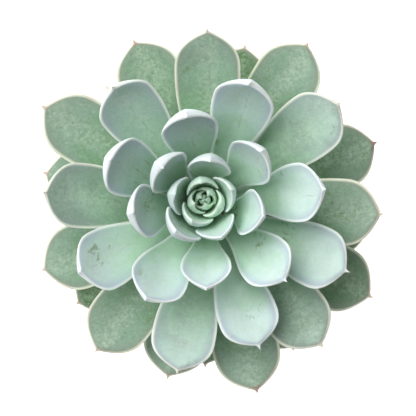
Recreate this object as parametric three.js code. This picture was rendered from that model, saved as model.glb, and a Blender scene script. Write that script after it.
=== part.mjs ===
// Potted rosette succulent: fifty-one fleshy leaves on a short stem, in soil, in a plain clay pot.
// Units are millimetres and +Z is up. The origin is on the surface that the pot stands on, under
// the middle of the whole object. The rosette faces up, and leans a little towards -X and +Y.
import * as THREE from 'three';

// --- Pot: a tapered clay pot with a thicker collar and one drain hole in its floor
const POT_HEIGHT = 74;
const POT_BASE_RADIUS = 28.5;
const POT_COLLAR_RADIUS = 42;
const POT_COLLAR_HEIGHT = 18;
const POT_COLLAR_STEP = 3; // how far the collar stands out from the wall below it
const POT_WALL = 4.5;
const POT_FLOOR = 5;
const POT_DRAIN_RADIUS = 5.5;
const POT_EDGE = 1.2; // small chamfer at the lip and the foot
const POT_SIDES = 56;

// --- Soil: fills the pot up to a finger's width below the lip, with a socket for the stem
const FIT_GAP = 0.3; // clearance between pieces that touch
const SOIL_TOP = 64;
const SOIL_CROWN = 1.5; // how much higher the soil is round the stem
const SOCKET_BOTTOM = 44;

// --- Stem: bare and woody below, leafy above, with a domed growing tip
const STEM_RADIUS = 5;
const LEAFY_RADIUS = 5.6;
const LEAFY_BOTTOM = 76;
const STEM_TOP = 101;
const DOME_DROP = 4; // how far the edge of the growing tip lies below its middle
const STEM_LEAN_X = -2.9;
const STEM_LEAN_Y = 4;
const STEM_SIDES = 24;

// --- Leaves: leaf 0 is the innermost, and each next one is a golden angle further round.
// A leaf's age runs from 0 in the bud to 1 at the lowest leaf.
const LEAF_COUNT = 51;
const GOLDEN_ANGLE = 137.5;
const FIRST_AZIMUTH = 10.5;
const TIP_LEAVES = 12; // leaves that stand on the domed tip, not on the side of the stem
const TIP_FIRST_RADIUS = 0.55;
const TIP_LEAF_PITCH = 0.46; // radial step from one tip leaf to the next
const TIP_LEAF_GAP = 0.5; // between the dome and the foot of a tip leaf
const SIDE_LEAF_PITCH = 0.5; // step down the stem from one side leaf to the next
const SIDE_LEAF_GAP = 1.1; // from the stem to the midrib line of a side leaf, so that its foot is clear

const LEAF_MAX_WIDTH = 23.8;
const WIDTH_HEAD_START = 11; // width nears its maximum as 1 - exp(-(index + start) / pace)
const WIDTH_PACE = 22;
const OLD_LEAF_NARROWING = 0.12;
const BUD_SCALE = 0.46; // width of the very first leaf beside the rule above
const BUD_LENGTH = 12;
const LENGTH_GAIN = 49;
const LENGTH_POWER = 1.25;
const OLD_LEAF_SHORTENING = 7;
const BUD_THICKNESS = 1;
const MAX_THICKNESS = 4.7;
const BASE_THICKNESS = 2.2;
const FULLEST_AT = 0.5; // part of the length at which a leaf is thickest
const WIDEST_AT = 0.72; // part of the length at which a leaf is widest
const FLARED_WIDEST_GAIN = 0.06; // middle leaves are widest a little further out,
const FLARE = 1.3; // and widen later, which this power gives
const FLARE_GAIN = 1.6;
const BUD_BLUNTNESS = 1.3; // a low power makes the end of a young leaf a pointed arch,
const OLD_BLUNTNESS = 3.6; // and a high one makes the end of an old leaf blunt
const BASE_WIDTH = 0.28; // width at the foot, as a part of the greatest width
const UPPER_SHARE = 0.35; // part of the thickness that lies above the midrib line
const BUD_BEND_RADIUS = 2; // leaves in the bud wrap round it, and old ones are almost flat
const BEND_RADIUS_GAIN = 50;

const LEVEL_ANGLE = 4; // rise of the lowest leaf, in degrees from level
const UPRIGHT_GAIN = 88; // how much steeper the innermost leaf stands
const YOUNG_CURL = 20; // how much steeper a leaf's point is than its foot
const OLD_CURL = 14;
const LIGHT_AZIMUTH = 125; // the side that the rosette grows towards
const LIGHT_LEAN = 11; // how much steeper the middle leaves stand on that side
const HOOK_START = 0.6; // part of the length past which the point hooks over, or bends back
const BUD_CLOSING = 3; // how far the leaves round the bud lean in over it, in degrees
const BUD_HOOK = 54; // hook of the leaves in the bud, in degrees
const HOOK_MEAN = 11; // middle leaves hook by the mean plus the swing on the light's side,
const HOOK_SWING = 36; // and by the mean less the swing on the far side
const HOOK_SHARE = 0.1; // how much of its hook a leaf leans back at its foot

// How single leaves have grown off the rule: turned from the exact spiral and raised, in degrees,
// and longer or shorter than their neighbours
const LEAF_TURN = {
  0: -18, 3: -12, 5: -5, 6: -14, 7: -13, 8: -10, 10: -12, 12: 5, 13: -12, 14: 6, 15: -3, 16: -8,
  18: -10, 20: -3, 21: -11, 23: -3, 26: -11, 27: 6, 28: -1, 31: -4, 33: 4, 34: -8, 35: 6, 36: 4,
  37: 1, 38: 5, 39: -2, 40: 4, 41: 8, 42: -4, 43: 5, 50: -7,
};
const LEAF_RISE = {
  2: 1, 4: -2, 5: -2.6, 6: -1, 7: -1, 9: -1, 10: 5, 11: -2, 12: 10, 13: 8, 14: -4,
  16: 1, 17: 2, 19: -4, 20: 1,
  21: 4, 22: -1, 23: -7, 24: -2, 25: -3, 26: 4, 27: -12, 33: -2, 34: 5, 36: -2,
};
const LEAF_GROWTH = {
  26: 0.975, 27: 0.98, 34: 0.95, 35: 1.04, 36: 1.02, 37: 1.03, 38: 0.97, 39: 1.02, 40: 1.03,
  42: 1.04, 44: 0.97, 50: 1.05,
};

// Sections along a leaf, as parts of its length; the mesh closes to a point past the last one
const STATIONS = [0, 0.14, 0.34, 0.54, 0.7, 0.82, 0.91, 0.965];
const SECTION_SIDES = 8;
const SECTION_POWER = 2.5; // over 2 makes the section of a leaf fuller than an ellipse
const MIDRIB_STEPS = 40;

const { degToRad, lerp, smoothstep } = THREE.MathUtils;

const finish = (color, roughness) => new THREE.MeshStandardMaterial({ color, roughness, metalness: 0 });
const clayFinish = () => finish(0xb5694a, 0.9);
const soilFinish = () => finish(0x3b2c22, 1);
const barkFinish = () => finish(0x8a7a5c, 0.85);
const leafFinish = () => finish(0xa6bdb4, 0.6);

function namedMesh(name, geometry, material) {
  const mesh = new THREE.Mesh(geometry, material);
  mesh.name = name;
  return mesh;
}

// A body turned about +Z from a closed outline of [radius, height] pairs
function turned(outline, sides) {
  const points = outline.map(([radius, height]) => new THREE.Vector2(radius, height));
  return new THREE.LatheGeometry(points, sides).rotateX(Math.PI / 2);
}

function potInnerRadius(height) {
  const bottom = POT_BASE_RADIUS - POT_WALL;
  const top = POT_COLLAR_RADIUS - POT_COLLAR_STEP - POT_WALL;
  return lerp(bottom, top, height / POT_HEIGHT);
}

function makePot() {
  const collarBottom = POT_HEIGHT - POT_COLLAR_HEIGHT;
  const wallUnderCollar = POT_COLLAR_RADIUS - POT_COLLAR_STEP - POT_EDGE;
  const outline = [
    [POT_DRAIN_RADIUS, 0],
    [POT_BASE_RADIUS - POT_EDGE, 0],
    [POT_BASE_RADIUS, POT_EDGE],
    [wallUnderCollar, collarBottom],
    [POT_COLLAR_RADIUS - POT_EDGE, collarBottom],
    [POT_COLLAR_RADIUS - POT_EDGE / 2, collarBottom + POT_EDGE],
    [POT_COLLAR_RADIUS, POT_HEIGHT - POT_EDGE],
    [POT_COLLAR_RADIUS - POT_EDGE, POT_HEIGHT],
    [potInnerRadius(POT_HEIGHT) + POT_EDGE, POT_HEIGHT],
    [potInnerRadius(POT_HEIGHT), POT_HEIGHT - POT_EDGE],
    [potInnerRadius(POT_FLOOR), POT_FLOOR],
    [POT_DRAIN_RADIUS, POT_FLOOR],
    [POT_DRAIN_RADIUS, 0],
  ];
  return namedMesh('pot', turned(outline, POT_SIDES), clayFinish());
}

// The soil's socket stands where the stem does, which is a little off the pot's axis
function makeSoil(stemPlace) {
  const bottom = POT_FLOOR + FIT_GAP;
  const socketRadius = STEM_RADIUS + FIT_GAP;
  const crownTop = SOIL_TOP + SOIL_CROWN;
  const outline = [
    [0, bottom],
    [potInnerRadius(bottom) - FIT_GAP, bottom],
    [potInnerRadius(SOIL_TOP) - FIT_GAP, SOIL_TOP],
    [lerp(socketRadius, potInnerRadius(SOIL_TOP), 0.5), SOIL_TOP + SOIL_CROWN / 3],
    [socketRadius, crownTop],
    [socketRadius, SOCKET_BOTTOM],
    [0, SOCKET_BOTTOM],
  ];
  const geometry = turned(outline, POT_SIDES);
  const position = geometry.attributes.position;
  for (let i = 0; i < position.count; i += 1) {
    const radius = Math.hypot(position.getX(i), position.getY(i));
    const onSocket = radius < socketRadius + 0.01 && position.getZ(i) > bottom + 1;
    if (onSocket) {
      position.setXY(i, position.getX(i) + stemPlace.x, position.getY(i) + stemPlace.y);
    }
  }
  return namedMesh('soil', geometry, soilFinish());
}

// The stem is upright in the soil, and above it bends over towards the light
function stemAxis(height) {
  const rise = Math.max(0, (height - SOIL_TOP - SOIL_CROWN) / (STEM_TOP - SOIL_TOP - SOIL_CROWN));
  const bend = rise ** 1.5;
  return new THREE.Vector2(STEM_LEAN_X * bend, STEM_LEAN_Y * bend);
}

function domeHeight(radius) {
  return STEM_TOP - DOME_DROP * (radius / LEAFY_RADIUS) ** 2;
}

function makeStem() {
  const bottom = SOCKET_BOTTOM + FIT_GAP;
  const outline = [[0, bottom], [STEM_RADIUS, bottom], [STEM_RADIUS, SOIL_TOP + SOIL_CROWN]];
  for (const part of [0.3, 0.7]) {
    outline.push([STEM_RADIUS, lerp(SOIL_TOP + SOIL_CROWN, LEAFY_BOTTOM, part)]);
  }
  for (const part of [0, 0.33, 0.66, 1]) {
    outline.push([LEAFY_RADIUS, lerp(LEAFY_BOTTOM, domeHeight(LEAFY_RADIUS), part)]);
  }
  for (const part of [0.75, 0.5, 0.25]) {
    outline.push([LEAFY_RADIUS * part, domeHeight(LEAFY_RADIUS * part)]);
  }
  outline.push([0, STEM_TOP]);
  const geometry = turned(outline, STEM_SIDES);
  const position = geometry.attributes.position;
  for (let i = 0; i < position.count; i += 1) {
    const axis = stemAxis(position.getZ(i));
    position.setXY(i, position.getX(i) + axis.x, position.getY(i) + axis.y);
  }
  return namedMesh('stem', geometry, barkFinish());
}

function leafSize(index, age) {
  const budScale = lerp(BUD_SCALE, 1, smoothstep(index, -1, 6));
  const grownWidth = 1 - Math.exp(-(index + WIDTH_HEAD_START) / WIDTH_PACE);
  const narrowing = 1 - OLD_LEAF_NARROWING * smoothstep(age, 0.7, 1);
  const grownLength = Math.sin(2 * age) ** LENGTH_POWER;
  const shortening = OLD_LEAF_SHORTENING * smoothstep(age, 0.68, 0.88);
  return {
    width: LEAF_MAX_WIDTH * budScale * grownWidth * narrowing,
    length: (BUD_LENGTH + LENGTH_GAIN * grownLength - shortening) * (LEAF_GROWTH[index] ?? 1),
    thickness: budScale ** 1.4 * lerp(BUD_THICKNESS, MAX_THICKNESS, smoothstep(age, -0.1, 0.5)),
    bendRadius: BUD_BEND_RADIUS + BEND_RADIUS_GAIN * age ** 1.25,
    bluntness: lerp(BUD_BLUNTNESS, OLD_BLUNTNESS, smoothstep(index, 2, 30)),
    flared: smoothstep(age, 0.12, 0.3) - smoothstep(age, 0.5, 0.68),
  };
}

// How far the point turns in over the leaf's own face, in degrees; below 0 it turns out
function leafHook(index, azimuth) {
  const isMiddle = smoothstep(index, 5, 10) * (1 - smoothstep(index, 24, 34));
  const swing = HOOK_SWING * Math.cos(degToRad(azimuth - LIGHT_AZIMUTH));
  return isMiddle * (HOOK_MEAN + swing) + BUD_HOOK * (1 - smoothstep(index, 3, 8));
}

// Young leaves are steep and curl in; old ones are nearly level. The leaves between them stand
// steeper on the side of the light. Angles are in degrees.
function leafAttitude(index, age) {
  const azimuth = FIRST_AZIMUTH + GOLDEN_ANGLE * index + (LEAF_TURN[index] ?? 0);
  const isMiddle = smoothstep(index, 5, 15) * (1 - smoothstep(index, 27, 35));
  const lean = LIGHT_LEAN * isMiddle * Math.cos(degToRad(azimuth - LIGHT_AZIMUTH));
  const rise = LEVEL_ANGLE + UPRIGHT_GAIN * (1 - age ** 1.4) ** 2.1;
  const curl = lerp(YOUNG_CURL, OLD_CURL, smoothstep(index, 20, 36));
  const hook = leafHook(index, azimuth);
  const closing = BUD_CLOSING * smoothstep(index, 1, 4) * (1 - smoothstep(index, 4, 8));
  const raised = rise + lean + closing + (LEAF_RISE[index] ?? 0);
  const baseAngle = raised - curl / 3 - hook * HOOK_SHARE;
  return {
    azimuth: degToRad(azimuth),
    baseAngle: degToRad(baseAngle),
    curl: degToRad(curl),
    hook: degToRad(hook),
  };
}

// Where a leaf's foot stands: on the domed tip, or down the side of the stem
function leafFoot(index) {
  if (index < TIP_LEAVES) {
    const radius = TIP_FIRST_RADIUS + TIP_LEAF_PITCH * index;
    return { radius, height: domeHeight(radius) + TIP_LEAF_GAP };
  }
  const height = domeHeight(LEAFY_RADIUS) - SIDE_LEAF_PITCH * (index - TIP_LEAVES);
  return { radius: LEAFY_RADIUS + SIDE_LEAF_GAP, height };
}

// Half width of a leaf at a part of its length
function halfWidth(leaf, along) {
  const widestAt = WIDEST_AT + FLARED_WIDEST_GAIN * leaf.flared;
  if (along < widestAt) {
    const flare = FLARE + FLARE_GAIN * leaf.flared;
    const grown = Math.sin((Math.PI / 2) * (along / widestAt)) ** flare;
    return (leaf.width / 2) * lerp(BASE_WIDTH, 1, grown);
  }
  const past = (along - widestAt) / (1 - widestAt);
  return (leaf.width / 2) * (1 - past ** leaf.bluntness) ** 1.1;
}

function thicknessAt(leaf, along) {
  const base = Math.min(BASE_THICKNESS, leaf.thickness);
  if (along < FULLEST_AT) return lerp(base, leaf.thickness, smoothstep(along, 0, FULLEST_AT));
  const past = (along - FULLEST_AT) / (1 - FULLEST_AT);
  return leaf.thickness * (1 - past ** 4.4) ** 0.62;
}

// The midrib's slope, which grows towards the point
function midribAngle(leaf, along) {
  const past = Math.max(0, (along - HOOK_START) / (1 - HOOK_START));
  return leaf.baseAngle + leaf.curl * along ** 2 + leaf.hook * past ** 2;
}

// The midrib is walked from the foot in small steps. Its points are [out, up, angle].
function midribAt(leaf, along) {
  let out = 0;
  let up = 0;
  const step = along / MIDRIB_STEPS;
  for (let i = 0; i < MIDRIB_STEPS; i += 1) {
    const angle = midribAngle(leaf, step * (i + 0.5));
    out += Math.cos(angle) * step * leaf.length;
    up += Math.sin(angle) * step * leaf.length;
  }
  return [out, up, midribAngle(leaf, along)];
}

const signedPower = (value, power) => Math.sign(value) * Math.abs(value) ** power;

// One point of a leaf's surface, in the leaf's own frame: +X away from the stem and +Z up.
// The section is a flattened oval, bent round the bud by the leaf's bend radius.
function leafPoint(leaf, along, around) {
  const [out, up, angle] = midribAt(leaf, along);
  const across = -halfWidth(leaf, along) * signedPower(Math.cos(around), 2 / SECTION_POWER);
  const share = Math.sin(around) > 0 ? UPPER_SHARE : 1 - UPPER_SHARE;
  const raised = thicknessAt(leaf, along) * share * signedPower(Math.sin(around), 2 / SECTION_POWER);
  const bend = across / leaf.bendRadius;
  const lift = leaf.bendRadius - (leaf.bendRadius - raised) * Math.cos(bend);
  return new THREE.Vector3(
    out - lift * Math.sin(angle),
    (leaf.bendRadius - raised) * Math.sin(bend),
    up + lift * Math.cos(angle),
  );
}

// A sphere's grid is laid round the leaf: its first pole closes the foot, its last is the point
function leafGeometry(leaf) {
  const rows = STATIONS.length + 1;
  const geometry = new THREE.SphereGeometry(1, SECTION_SIDES, rows);
  const { position, uv } = geometry.attributes;
  for (let i = 0; i < position.count; i += 1) {
    const row = Math.round((1 - uv.getY(i)) * rows);
    const column = Math.round(uv.getX(i) * SECTION_SIDES) % SECTION_SIDES;
    if (row === 0 || row === rows) {
      const [out, up] = midribAt(leaf, row === 0 ? 0 : 1);
      position.setXYZ(i, out, 0, up);
    } else {
      const point = leafPoint(leaf, STATIONS[row - 1], (2 * Math.PI * column) / SECTION_SIDES);
      position.setXYZ(i, point.x, point.y, point.z);
    }
  }
  geometry.computeVertexNormals();
  return geometry;
}

function makeLeaf(index) {
  const age = index / (LEAF_COUNT - 1);
  const leaf = { ...leafSize(index, age), ...leafAttitude(index, age) };
  const foot = leafFoot(index);
  const axis = stemAxis(foot.height);
  const name = `leaf_${String(index + 1).padStart(2, '0')}`;
  const mesh = namedMesh(name, leafGeometry(leaf), leafFinish());
  mesh.position.set(
    axis.x + foot.radius * Math.cos(leaf.azimuth),
    axis.y + foot.radius * Math.sin(leaf.azimuth),
    foot.height,
  );
  mesh.rotation.z = leaf.azimuth;
  return mesh;
}

// The plant stands so that the middle of its spread is over the middle of the pot
const plant = new THREE.Group();
plant.add(makeStem());
for (let index = 0; index < LEAF_COUNT; index += 1) plant.add(makeLeaf(index));
const middle = new THREE.Box3().setFromObject(plant, true).getCenter(new THREE.Vector3());
plant.position.set(-middle.x, -middle.y, 0);

const succulent = new THREE.Group();
succulent.add(makePot(), makeSoil(plant.position), plant);

export default succulent;
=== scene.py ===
import math

import bpy
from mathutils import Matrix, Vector


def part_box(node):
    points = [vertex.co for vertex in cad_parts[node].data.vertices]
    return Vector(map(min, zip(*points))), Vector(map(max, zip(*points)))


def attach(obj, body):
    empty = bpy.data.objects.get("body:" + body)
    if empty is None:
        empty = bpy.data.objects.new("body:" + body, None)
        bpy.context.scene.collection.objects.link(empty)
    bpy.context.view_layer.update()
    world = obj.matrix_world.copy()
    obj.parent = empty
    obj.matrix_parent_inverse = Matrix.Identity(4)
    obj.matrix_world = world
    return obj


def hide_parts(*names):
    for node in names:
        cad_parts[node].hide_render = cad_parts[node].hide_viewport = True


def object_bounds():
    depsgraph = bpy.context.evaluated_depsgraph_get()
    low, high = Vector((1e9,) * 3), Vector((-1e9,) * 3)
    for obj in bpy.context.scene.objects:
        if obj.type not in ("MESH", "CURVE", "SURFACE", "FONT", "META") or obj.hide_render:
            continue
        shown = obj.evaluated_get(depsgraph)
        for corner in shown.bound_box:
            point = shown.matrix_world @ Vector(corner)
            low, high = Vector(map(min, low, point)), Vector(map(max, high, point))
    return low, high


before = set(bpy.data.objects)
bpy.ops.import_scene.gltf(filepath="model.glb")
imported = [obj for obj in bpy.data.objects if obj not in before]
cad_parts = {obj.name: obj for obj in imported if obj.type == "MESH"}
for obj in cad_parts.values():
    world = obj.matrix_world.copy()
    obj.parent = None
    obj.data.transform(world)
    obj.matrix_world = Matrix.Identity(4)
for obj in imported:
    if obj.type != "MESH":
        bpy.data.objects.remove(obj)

cad_low, cad_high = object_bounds()
MM = 0.001

# --- Camera
# It hangs over the rosette and looks straight down, with the plant's +Y side at the top.
CAMERA_HEIGHT = 698 * MM
CAMERA_OFFSET_X = -0.7 * MM
CAMERA_OFFSET_Y = 1.6 * MM
CAMERA_LENS = 152.8  # millimetres, on a sensor 36 mm wide

camera_data = bpy.data.cameras.new("camera")
camera_data.lens = CAMERA_LENS
camera_data.sensor_width = 36.0
camera = bpy.data.objects.new("camera", camera_data)
camera.location = (CAMERA_OFFSET_X, CAMERA_OFFSET_Y, CAMERA_HEIGHT)
bpy.context.scene.collection.objects.link(camera)
bpy.context.scene.camera = camera
bpy.context.scene.view_settings.view_transform = "Standard"

# --- Light
# One large soft lamp stands on the left, as a window would, and a weak one nearly overhead opens
# the shadows. A white room does the rest.
KEY_AZIMUTH = math.radians(139)
KEY_ELEVATION = math.radians(50)
KEY_DISTANCE = 0.9
KEY_SIZE = 0.95
KEY_POWER = 11.0
FILL_AZIMUTH = math.radians(-40)
FILL_ELEVATION = math.radians(84)
FILL_DISTANCE = 1.1
FILL_SIZE = 0.9
FILL_POWER = 0.45
ROOM_BRIGHTNESS = 0.17
LAMP_AIM_HEIGHT = cad_high.z * 0.8


def add_soft_lamp(name, azimuth, elevation, distance, size, power):
    """A square lamp that looks at the middle of the rosette from a direction."""
    lamp_data = bpy.data.lights.new(name, "AREA")
    lamp_data.size = size
    lamp_data.energy = power
    lamp = bpy.data.objects.new(name, lamp_data)
    outwards = Vector((
        math.cos(azimuth) * math.cos(elevation),
        math.sin(azimuth) * math.cos(elevation),
        math.sin(elevation),
    ))
    lamp.location = Vector((0, 0, LAMP_AIM_HEIGHT)) + outwards * distance
    lamp.rotation_euler = outwards.to_track_quat("Z", "Y").to_euler()
    bpy.context.scene.collection.objects.link(lamp)


add_soft_lamp("key_lamp", KEY_AZIMUTH, KEY_ELEVATION, KEY_DISTANCE, KEY_SIZE, KEY_POWER)
add_soft_lamp("fill_lamp", FILL_AZIMUTH, FILL_ELEVATION, FILL_DISTANCE, FILL_SIZE, FILL_POWER)

room = bpy.data.worlds.new("room")
room.use_nodes = True
room.node_tree.nodes["Background"].inputs["Color"].default_value = (1.0, 1.0, 1.0, 1.0)
room.node_tree.nodes["Background"].inputs["Strength"].default_value = ROOM_BRIGHTNESS
bpy.context.scene.world = room

# --- Floor
# A wide sheet of white paper lit through from below, so that it stays white round the plant and
# only goes a little grey right under the leaves.
FLOOR_HALF_WIDTH = 4.0
FLOOR_GLOW = 0.9

floor_mesh = bpy.data.meshes.new("floor")
floor_mesh.from_pydata(
    [
        (-FLOOR_HALF_WIDTH, -FLOOR_HALF_WIDTH, 0),
        (FLOOR_HALF_WIDTH, -FLOOR_HALF_WIDTH, 0),
        (FLOOR_HALF_WIDTH, FLOOR_HALF_WIDTH, 0),
        (-FLOOR_HALF_WIDTH, FLOOR_HALF_WIDTH, 0),
    ],
    [],
    [(0, 1, 2, 3)],
)
floor = bpy.data.objects.new("floor", floor_mesh)
bpy.context.scene.collection.objects.link(floor)
paper = bpy.data.materials.new("paper")
paper.use_nodes = True
paper_shader = paper.node_tree.nodes["Principled BSDF"]
paper_shader.inputs["Base Color"].default_value = (0.86, 0.86, 0.86, 1.0)
paper_shader.inputs["Roughness"].default_value = 0.9
paper_shader.inputs["Specular IOR Level"].default_value = 0.1
paper_shader.inputs["Emission Color"].default_value = (1.0, 1.0, 1.0, 1.0)
paper_shader.inputs["Emission Strength"].default_value = FLOOR_GLOW
floor_mesh.materials.append(paper)

# --- Pot
# A plain tapered clay pot with a thicker collar and one drain hole, pressed in a mould, fired
# and left unglazed. Water has left a pale mineral bloom on it, most of all at the foot.
POT_FOOT_RADIUS = 28.5 * MM
POT_COLLAR_DEPTH = 18 * MM
POT_COLLAR_STEP = 3 * MM
POT_WALL = 4.5 * MM
POT_FLOOR = 5 * MM
POT_DRAIN_RADIUS = 5.5 * MM
POT_CORNER = 1.2 * MM
POT_SIDES = 144
CORNER_STEPS = 5

pot_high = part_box("pot")[1]
pot_height = pot_high.z
collar_radius = pot_high.x


class Field:
    """A value in a node tree, so that a rule for it reads as plain arithmetic."""

    def __init__(self, socket):
        self.socket = socket

    def __add__(self, other):
        return calculate("ADD", self, other)

    def __radd__(self, other):
        return calculate("ADD", other, self)

    def __sub__(self, other):
        return calculate("SUBTRACT", self, other)

    def __rsub__(self, other):
        return calculate("SUBTRACT", other, self)

    def __mul__(self, other):
        return calculate("MULTIPLY", self, other)

    def __rmul__(self, other):
        return calculate("MULTIPLY", other, self)

    def __truediv__(self, other):
        return calculate("DIVIDE", self, other)

    def __rtruediv__(self, other):
        return calculate("DIVIDE", other, self)

    def __pow__(self, other):
        return calculate("POWER", self, other)


def feed(socket, value):
    """Joins a field to a socket, or sets the socket to a plain value."""
    if isinstance(value, Field):
        socket.id_data.links.new(value.socket, socket)
    else:
        socket.default_value = value


def add_node(tree, kind, inputs=None, **settings):
    """A node with its settings made and its inputs fed, by name or by number."""
    node = tree.nodes.new(kind)
    for name, value in settings.items():
        setattr(node, name, value)
    for name, value in (inputs or {}).items():
        feed(node.inputs[name], value)
    return node


def calculate(operation, *values):
    """A Math node over fields and plain numbers. At least one of the values is a field."""
    tree = next(value for value in values if isinstance(value, Field)).socket.id_data
    node = add_node(tree, "ShaderNodeMath", dict(enumerate(values)), operation=operation)
    return Field(node.outputs["Value"])


def ease(value, start, end):
    """0 up to start, 1 from end, and a smooth rise between them."""
    inputs = {"Value": value, "From Min": start, "From Max": end}
    node = add_node(
        value.socket.id_data, "ShaderNodeMapRange", inputs, interpolation_type="SMOOTHSTEP"
    )
    return Field(node.outputs["Result"])


def tint(share, first, second, mode="MIX"):
    """The first colour where share is 0, and the second where it is 1."""
    node = add_node(
        share.socket.id_data,
        "ShaderNodeMix",
        {0: share, 6: first, 7: second},
        data_type="RGBA",
        blend_type=mode,
    )
    return Field(node.outputs[2])


def noise(tree, place, scale, detail=2.0, roughness=0.5, distortion=0.0):
    """Soft cloudy noise from 0 to 1, with scale features in a unit of place."""
    inputs = {
        "Vector": place,
        "Scale": scale,
        "Detail": detail,
        "Roughness": roughness,
        "Distortion": distortion,
    }
    return Field(add_node(tree, "ShaderNodeTexNoise", inputs).outputs["Fac"])


def make_weathering_group():
    """Cloudy patches and scattered specks, for every material that has been outdoors."""
    group = bpy.data.node_groups.new("weathering", "ShaderNodeTree")
    for name, kind, value in (
        ("Vector", "NodeSocketVector", None),
        ("Patch Scale", "NodeSocketFloat", 40.0),
        ("Speck Scale", "NodeSocketFloat", 800.0),
        ("Speck Share", "NodeSocketFloat", 0.3),
    ):
        socket = group.interface.new_socket(name=name, in_out="INPUT", socket_type=kind)
        if value is not None:
            socket.default_value = value
    for name in ("Patches", "Specks", "Grain"):
        group.interface.new_socket(name=name, in_out="OUTPUT", socket_type="NodeSocketFloat")
    taken = add_node(group, "NodeGroupInput")
    place = Field(taken.outputs["Vector"])
    patches = noise(group, place, Field(taken.outputs["Patch Scale"]), 5.0, 0.6, 0.4)
    grain = noise(group, place, Field(taken.outputs["Speck Scale"]), 3.0, 0.6)
    cells = add_node(
        group,
        "ShaderNodeTexVoronoi",
        {"Vector": place, "Scale": Field(taken.outputs["Speck Scale"]) * 0.6},
    )
    colour = add_node(group, "ShaderNodeSeparateColor", {0: Field(cells.outputs["Color"])})
    chosen = calculate("LESS_THAN", Field(colour.outputs[0]), Field(taken.outputs["Speck Share"]))
    specks = (1.0 - ease(Field(cells.outputs["Distance"]), 0.12, 0.34)) * chosen
    given = add_node(group, "NodeGroupOutput")
    feed(given.inputs["Patches"], ease(patches, 0.34, 0.66))
    feed(given.inputs["Specks"], specks)
    feed(given.inputs["Grain"], grain)
    return group


weathering = make_weathering_group()


def weather(tree, place, patch_scale, speck_scale, speck_share):
    """The weathering group's patches, specks and grain, as three fields."""
    inputs = {
        "Vector": place,
        "Patch Scale": patch_scale,
        "Speck Scale": speck_scale,
        "Speck Share": speck_share,
    }
    node = tree.nodes.new("ShaderNodeGroup")
    node.node_tree = weathering
    for name, value in inputs.items():
        feed(node.inputs[name], value)
    return [Field(node.outputs[name]) for name in ("Patches", "Specks", "Grain")]


def new_material(name):
    """A material with a Principled shader, as (material, its node tree, its shader)."""
    material = bpy.data.materials.new(name)
    material.use_nodes = True
    return material, material.node_tree, material.node_tree.nodes["Principled BSDF"]


def bumped(tree, height, strength, depth):
    """A normal that follows a height field."""
    inputs = {"Height": height, "Strength": strength, "Distance": depth}
    return Field(add_node(tree, "ShaderNodeBump", inputs).outputs["Normal"])


def make_clay():
    """Unglazed fired clay: warm and cloudy, with faint drag lines, pores and mineral bloom."""
    material, tree, shader = new_material("fired_clay")
    place = Field(add_node(tree, "ShaderNodeTexCoord").outputs["Object"])
    patches, specks, grain = weather(tree, place, 42.0, 1500.0, 0.22)
    height = Field(add_node(tree, "ShaderNodeSeparateXYZ", {0: place}).outputs["Z"])
    stretched = add_node(
        tree, "ShaderNodeMapping", {"Vector": place, "Scale": (14.0, 14.0, 1400.0)}
    )
    drag_lines = noise(tree, Field(stretched.outputs["Vector"]), 1.0, 3.0, 0.6)
    clouds = noise(tree, place, 75.0, 7.0, 0.68, 0.5)
    near_foot = 1.0 - ease(height, 0.0, 26 * MM)
    under_collar = ease(height, 44 * MM, 55 * MM) * (1.0 - ease(height, 58 * MM, 66 * MM))
    salt_line = 0.60 - near_foot * 0.13 - under_collar * 0.06
    salt = ease(clouds, salt_line, salt_line + 0.14)
    colour = tint(patches, (0.46, 0.185, 0.095, 1.0), (0.58, 0.27, 0.15, 1.0))
    colour = tint(drag_lines * 0.3, colour, (0.64, 0.36, 0.23, 1.0))
    colour = tint(specks * 0.55, colour, (0.27, 0.11, 0.06, 1.0))
    colour = tint(salt * 0.62, colour, (0.74, 0.62, 0.52, 1.0))
    feed(shader.inputs["Base Color"], colour)
    feed(shader.inputs["Roughness"], 0.8 + grain * 0.12 + salt * 0.06)
    shader.inputs["Specular IOR Level"].default_value = 0.25
    relief = grain * 0.5 + drag_lines * 0.5 + salt * 0.35 - specks * 0.5
    feed(shader.inputs["Normal"], bumped(tree, relief, 0.55, 0.35 * MM))
    return material


def rounded_corner(before, corner, after, radius):
    """Points of the arc that rounds a corner of an outline of (radius, height) points."""
    corner = Vector(corner)
    to_before = (Vector(before) - corner).normalized()
    to_after = (Vector(after) - corner).normalized()
    half_angle = to_before.angle(to_after) / 2
    reach = radius / math.tan(half_angle)
    centre = corner + (to_before + to_after).normalized() * (radius / math.sin(half_angle))
    start = corner + to_before * reach - centre
    turn = start.angle_signed(corner + to_after * reach - centre)
    points = []
    for step in range(CORNER_STEPS + 1):
        angle = -turn * step / CORNER_STEPS
        points.append((
            centre.x + start.x * math.cos(angle) - start.y * math.sin(angle),
            centre.y + start.x * math.sin(angle) + start.y * math.cos(angle),
        ))
    return points


def turned_mesh(name, outline, sides, closed):
    """A mesh turned about +Z from (radius, height) points that run anticlockwise, up the outside."""
    vertices = []
    faces = []
    rings = []
    for radius, height in outline:
        if radius < 1e-7:
            rings.append([len(vertices)] * sides)
            vertices.append((0.0, 0.0, height))
            continue
        rings.append(list(range(len(vertices), len(vertices) + sides)))
        for side in range(sides):
            angle = 2 * math.pi * side / sides
            vertices.append((radius * math.cos(angle), radius * math.sin(angle), height))
    pairs = list(zip(rings, rings[1:]))
    if closed:
        pairs.append((rings[-1], rings[0]))
    for lower, upper in pairs:
        for side in range(sides):
            following = (side + 1) % sides
            corners = [lower[side], lower[following], upper[following], upper[side]]
            faces.append(list(dict.fromkeys(corners)))
    mesh = bpy.data.meshes.new(name)
    mesh.from_pydata(vertices, [], faces)
    mesh.shade_smooth()
    return mesh


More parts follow.
